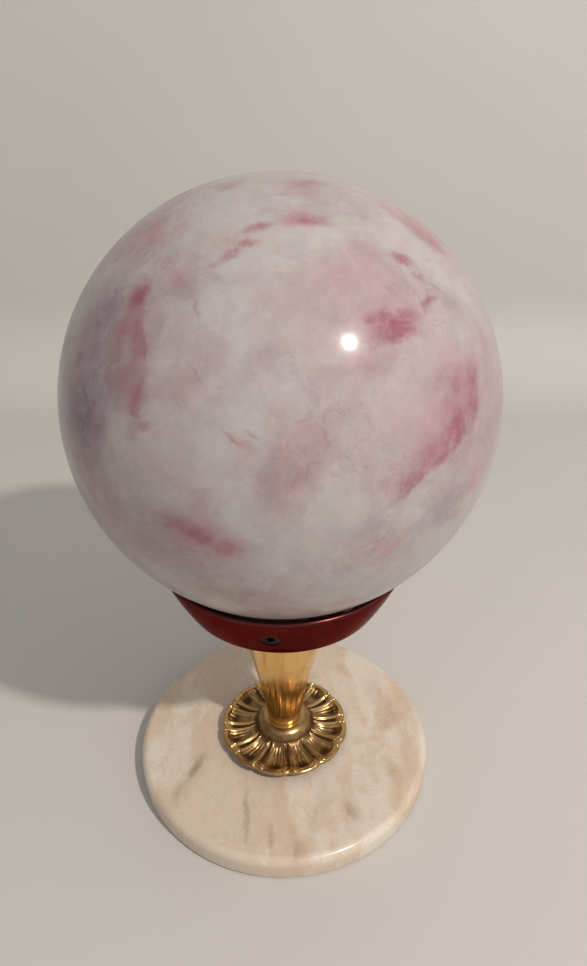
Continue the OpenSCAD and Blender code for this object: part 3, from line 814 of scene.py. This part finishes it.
def makePetal():
    top = smoothPath(rosetteTop, rosette["topSteps"])
    under = smoothPath(rosetteUnder, rosette["underSteps"])
    section = np.vstack([top, under[1:]])
    across = rosette["across"]
    half = 180 / rosette["petals"]
    ridge = half - rosette["ridgeAngle"]
    angles = np.linspace(-half, half, across + 1)
    radius = np.repeat(section[:, :1], across + 1, 1)
    height = np.repeat(section[:, 1:], across + 1, 1)
    angle = np.repeat(angles[None], len(section), 0)
    onTop = (np.arange(len(section)) < len(top))[:, None]
    offMiddle = np.abs(angle)

    def line(at, width):
        # a line that runs outwards at an angle from the petal's middle
        return np.exp(-(np.radians(offMiddle - at) * radius / (width / 2)) ** 2)

    # the outline bows a little over each petal and draws in at the gap
    bow = 1 - 0.010 * step(offMiddle, 4, ridge) - 0.020 * step(offMiddle, ridge, half)
    newRadius = radius * (1 + (bow - 1) * step(radius, 29, 37))
    # the scoop ends in a rounded line inside the rim, with a deeper eye near its end
    endLine = rosette["endLine"] - rosette["endBow"] * (offMiddle / ridge) ** 2
    inDish = step(radius, 18.2, 21.5) * (1 - step(radius, endLine - 0.9, endLine + 0.5)) * onTop
    ridgeRun = step(radius, 17.4, 19.5) * (1 - step(radius, 34.8, 36.2)) * onTop
    bowl = np.clip(1 - (offMiddle / (ridge - 1)) ** 2, 0, 1)
    eye = np.exp(-((radius - rosette["eyeRadius"]) / 2.4) ** 2) * bowl ** 2
    lift = -(rosette["scoop"] * bowl * step(radius, 18.5, 25) + rosette["eye"] * eye) * inDish
    lift += rosette["ridgeHeight"] * line(ridge, rosette["ridgeWidth"]) * ridgeRun
    lift += rosette["flute"] * (line(ridge - 3.7, 0.7) + line(2.7, 0.7)) * inDish
    lift -= rosette["gapDepth"] * line(half, 1.4) * ridgeRun
    endRidge = np.exp(-((radius - endLine - 0.3) / 0.5) ** 2) * (1 - step(offMiddle, ridge, half))
    lift += rosette["endHeight"] * endRidge * onTop
    beadAway = np.hypot(np.radians(offMiddle - ridge) * radius, radius - rosette["beadRadius"])
    bead = np.sqrt(np.clip(rosette["bead"] ** 2 - np.minimum(beadAway, 9) ** 2, 0, None)) * onTop
    newHeight = height + lift + bead * 0.9
    onRim = step(radius, 35.9, 36.8) * onTop
    onHub = step(radius, 11, 13) * (1 - step(radius, 17, 18)) * onTop
    # patina in the dish, the eyes, the gaps and the crease at the hub; darker on the hub's sides and
    # round the rim; bright on rubbed ridges and beads
    hollow = np.clip(0.40 * onHub + 0.25 * onRim + 0.45 * inDish + 0.35 * eye * inDish
                     + 0.45 * line(half, 2.0) * ridgeRun
                     + 0.6 * np.exp(-((radius - 18.3) / 1.3) ** 2) * onTop
                     - 1.0 * line(ridge, 1.1) * ridgeRun - 0.5 * line(ridge - 3.7, 0.8) * inDish
                     - 0.8 * (bead > 0.3), 0, 1)
    # painted shade: the whole underside is darkened
    hollow = np.where(onTop, hollow, 0.8)
    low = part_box("rosette")[0].z
    turn = np.radians(angle)
    places = np.stack([newRadius * mm * np.cos(turn), newRadius * mm * np.sin(turn),
                       np.maximum(newHeight, 0) * mm + low], -1).reshape(-1, 3)
    rows, columns = angle.shape
    faces = [(i * columns + j, (i + 1) * columns + j, (i + 1) * columns + j + 1, i * columns + j + 1)
             for i in range(rows - 1) for j in range(columns - 1)]
    faces += [((rows - 1) * columns + j, j, j + 1, (rows - 1) * columns + j + 1)
              for j in range(columns - 1)]
    data = bpy.data.meshes.new("petal")
    data.from_pydata(places.tolist(), [], faces)
    mark = data.attributes.new("hollow", "FLOAT", "POINT")
    mark.data.foreach_set("value", hollow.reshape(-1).astype(np.float32))
    return data


def makeRingTree():
    # copies its geometry round the upright axis, joins the copies and gives them a material
    tree = bpy.data.node_groups.new("petalRing", "GeometryNodeTree")
    inputs = tree.interface
    inputs.new_socket(name="Geometry", in_out="INPUT", socket_type="NodeSocketGeometry")
    inputs.new_socket(name="Count", in_out="INPUT", socket_type="NodeSocketInt")
    inputs.new_socket(name="First Turn", in_out="INPUT", socket_type="NodeSocketFloat")
    inputs.new_socket(name="Join Within", in_out="INPUT", socket_type="NodeSocketFloat")
    inputs.new_socket(name="Material", in_out="INPUT", socket_type="NodeSocketMaterial")
    inputs.new_socket(name="Geometry", in_out="OUTPUT", socket_type="NodeSocketGeometry")
    given = addNode(tree, "NodeGroupInput").outputs
    result = addNode(tree, "NodeGroupOutput").inputs
    spots = addNode(tree, "GeometryNodePoints")
    tree.links.new(given["Count"], spots.inputs["Count"])
    index = addNode(tree, "GeometryNodeInputIndex").outputs[0]
    share = calc(tree, "DIVIDE", calc(tree, "MULTIPLY", index, 2 * math.pi), given["Count"])
    turn = addNode(tree, "ShaderNodeCombineXYZ")
    tree.links.new(calc(tree, "ADD", share, given["First Turn"]), turn.inputs["Z"])
    copies = addNode(tree, "GeometryNodeInstanceOnPoints")
    tree.links.new(spots.outputs[0], copies.inputs["Points"])
    tree.links.new(given["Geometry"], copies.inputs["Instance"])
    tree.links.new(turn.outputs[0], copies.inputs["Rotation"])
    real = addNode(tree, "GeometryNodeRealizeInstances")
    tree.links.new(copies.outputs[0], real.inputs[0])
    join = addNode(tree, "GeometryNodeMergeByDistance")
    tree.links.new(real.outputs[0], join.inputs["Geometry"])
    tree.links.new(given["Join Within"], join.inputs["Distance"])
    paint = addNode(tree, "GeometryNodeSetMaterial")
    tree.links.new(join.outputs[0], paint.inputs["Geometry"])
    tree.links.new(given["Material"], paint.inputs["Material"])
    tree.links.new(paint.outputs[0], result[0])
    return tree


def grown(name, data, tree, **values):
    # runs a Geometry Nodes tree on a mesh and keeps the outcome as a plain mesh
    seedObject = bpy.data.objects.new(name, data)
    bpy.context.scene.collection.objects.link(seedObject)
    modifier = seedObject.modifiers.new(tree.name, "NODES")
    modifier.node_group = tree
    for item in tree.interface.items_tree:
        if item.in_out == "INPUT" and item.name in values:
            modifier[item.identifier] = values[item.name]
    seedObject.update_tag()
    outcome = bpy.data.meshes.new_from_object(
        seedObject.evaluated_get(bpy.context.evaluated_depsgraph_get()))
    seedObject.modifiers.clear()
    bpy.data.objects.remove(seedObject)
    outcome.name = name
    return outcome


ringTree = makeRingTree()
ringData = grown("rosette_cast", makePetal(), ringTree, **{
    "Count": rosette["petals"], "Join Within": 4e-6, "Material": finishes["antique_brass"],
    "First Turn": math.radians(rosette["firstGap"] + 180 / rosette["petals"])})
rosetteCast = finishPiece("rosette_cast", ringData, finishes["antique_brass"], 60)
standFor(rosetteCast, "stand", "antique_brass", "rosette")
print("rosette made:", len(ringData.polygons), "faces")


# marble disc: rounded upper edge, small bevel below, recess and rod hole underneath
base = {"edgeRound": 4.5 * mm, "bevel": 1 * mm, "rodHole": 5 * mm, "recessRadius": 14 * mm,
        "recessDepth": 7 * mm, "holeBevel": 0.4 * mm}


def makeBase():
    low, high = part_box("marble_base")
    radius, foot, top = max(high.x, -low.x), low.z, high.z
    edge, bevel, nick = base["edgeRound"], base["bevel"], base["holeBevel"]
    roof = foot + base["recessDepth"]
    profile = [(base["recessRadius"] + nick, foot), (radius - bevel - 12 * mm, foot)]
    profile += arcPoints(radius - bevel, foot + bevel, bevel, -90, 0, 5)
    profile += arcPoints(radius - edge, top - edge, edge, 0, 90, 16)
    profile += [(radius - edge - (radius - edge - base["rodHole"]) * i / 8, top)
                for i in range(1, 8)]
    profile += [(base["rodHole"], top), (base["rodHole"], roof), (base["recessRadius"], roof),
                (base["recessRadius"], foot + nick)]
    return turnedMesh("marble_disc", profile, 224)


marbleDisc = finishPiece("marble_disc", makeBase(), finishes["marble"])
standFor(marbleDisc, "stand", "marble", "marble_base")


# felt: soft edge, a little uneven
def makeFelt():
    low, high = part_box("felt_pad")
    radius, top = max(high.x, -low.x), high.z
    turn = 0.35 * mm
    profile = [(0, 0), (radius * 0.5, 0)]
    profile += arcPoints(radius - turn, turn, turn, -90, 0, 4)
    profile += arcPoints(radius - turn, top - turn, turn, 0, 90, 4)
    profile += [(radius * 0.5, top), (0, top)]
    return turnedMesh("felt_disc", profile, 160)


feltDisc = finishPiece("felt_disc", makeFelt(), finishes["green_felt"])
standFor(feltDisc, "stand", "green_felt", "felt_pad")
print("base made")


# washers, bushes and rings keep the frame's sizes and get their edges rounded
rings = {"cup_washer": (4.4, 0.25), "stem_top_bush": (4.4, 0.5), "stem_foot_bush": (4.4, 0.4),
         "rosette_gasket": (4.4, 0.1), "base_washer": (4.4, 0.25), "seat_gasket": (45.0, 0.5)}


def makeRing(node, boreRadius, edge):
    low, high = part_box(node)
    outer, bore, edge = max(high.x, -low.x), boreRadius * mm, edge * mm
    profile = arcPoints(outer - edge, low.z + edge, edge, -90, 0, 4)
    profile += arcPoints(outer - edge, high.z - edge, edge, 0, 90, 4)
    profile += arcPoints(bore + edge, high.z - edge, edge, 90, 180, 4)
    profile += arcPoints(bore + edge, low.z + edge, edge, 180, 270, 4)
    piece = finishPiece(node + "_turned", turnedMesh(node + "_turned", profile, 128),
                        finishes[slotOf[node]])
    return standFor(piece, "stand", slotOf[node], node)


for node, (boreRadius, edge) in rings.items():
    makeRing(node, boreRadius, edge)
print("rings made:", len(rings))

for node, part in frame["nodes"].items():
    if not part.hide_render:
        part.data.materials.clear()
        part.data.materials.append(finishes[slotOf[node]])


def plainMaterial(name, colour, roughness):
    material, tree, shader, place = newMaterial(name, Roughness=roughness)
    shade = mixColour(tree, blendRange(tree, noise(tree, place, 3.0, 3.0), 0.3, 0.7),
                      colour, tuple(c * 0.97 for c in colour[:3]) + (1,))
    tree.links.new(shade, shader.inputs["Base Color"])
    return material


def makeStage():
    # floor that sweeps up into a plain wall behind the object
    depth, bend, height, width = 0.62, 0.12, 2.4, 3.2
    path = [(-3.0, 0), (depth - bend, 0)]
    path += [(depth - bend + bend * math.sin(math.radians(a)), bend - bend * math.cos(math.radians(a)))
             for a in range(10, 90, 10)]
    path += [(depth, bend), (depth, height)]
    places = [(side * width, y, z) for y, z in path for side in (-1, 1)]
    faces = [(2 * i, 2 * i + 1, 2 * i + 3, 2 * i + 2) for i in range(len(path) - 1)]
    data = bpy.data.meshes.new("floor")
    data.from_pydata(places, [], faces)
    floor = finishPiece("floor", data, plainMaterial("paleFloor", (0.56, 0.535, 0.51, 1), 0.6), 80)


def addLight(name, kind, energy, colour, place, target, size):
    lamp = bpy.data.lights.new(name, kind)
    lamp.energy, lamp.color = energy, colour
    if kind == "AREA":
        lamp.shape, lamp.size = "DISK", size
    light = bpy.data.objects.new(name, lamp)
    light.location = place
    light.rotation_euler = (Vector(target) - Vector(place)).to_track_quat("-Z", "Y").to_euler()
    bpy.context.scene.collection.objects.link(light)


lighting = {"key": 19, "keyWay": (0.494, -0.529, 0.69), "keyAway": 1.6, "keySize": 0.08,
            "roomWay": (0.75, -0.40, 0.52), "dim": 0.22, "bright": 0.72}


def makeLight():
    middle = Vector(globe["centre"])
    keyPlace = middle + Vector(lighting["keyWay"]) * lighting["keyAway"]
    addLight("key", "AREA", lighting["key"], (1.0, 0.94, 0.86), keyPlace, middle, lighting["keySize"])
    world = bpy.data.worlds.new("room")
    world.use_nodes = True
    bpy.context.scene.world = world
    tree = world.node_tree
    backdrop = tree.nodes["Background"]
    backdrop.inputs["Color"].default_value = (0.97, 0.97, 0.96, 1)
    way = addNode(tree, "ShaderNodeTexCoord").outputs["Generated"]
    share = vectorCalc(tree, "DOT_PRODUCT", way, lighting["roomWay"])
    tree.links.new(blendRange(tree, share, -0.8, 1.0, lighting["dim"], lighting["bright"]),
                   backdrop.inputs["Strength"])


def makeCamera():
    view = {"place": (0, -0.3097, 0.3614), "down": 29.18, "right": 1.045, "lens": 26.45}
    lens = bpy.data.cameras.new("camera")
    lens.lens, lens.sensor_width, lens.clip_start = view["lens"], 36, 0.01
    camera = bpy.data.objects.new("camera", lens)
    camera.location = view["place"]
    camera.rotation_euler = (math.radians(90 - view["down"]), 0, math.radians(-view["right"]))
    bpy.context.scene.collection.objects.link(camera)
    bpy.context.scene.camera = camera


makeStage()
makeLight()
makeCamera()
bpy.context.scene.view_settings.view_transform = "Standard"
print("stage, light and camera set")
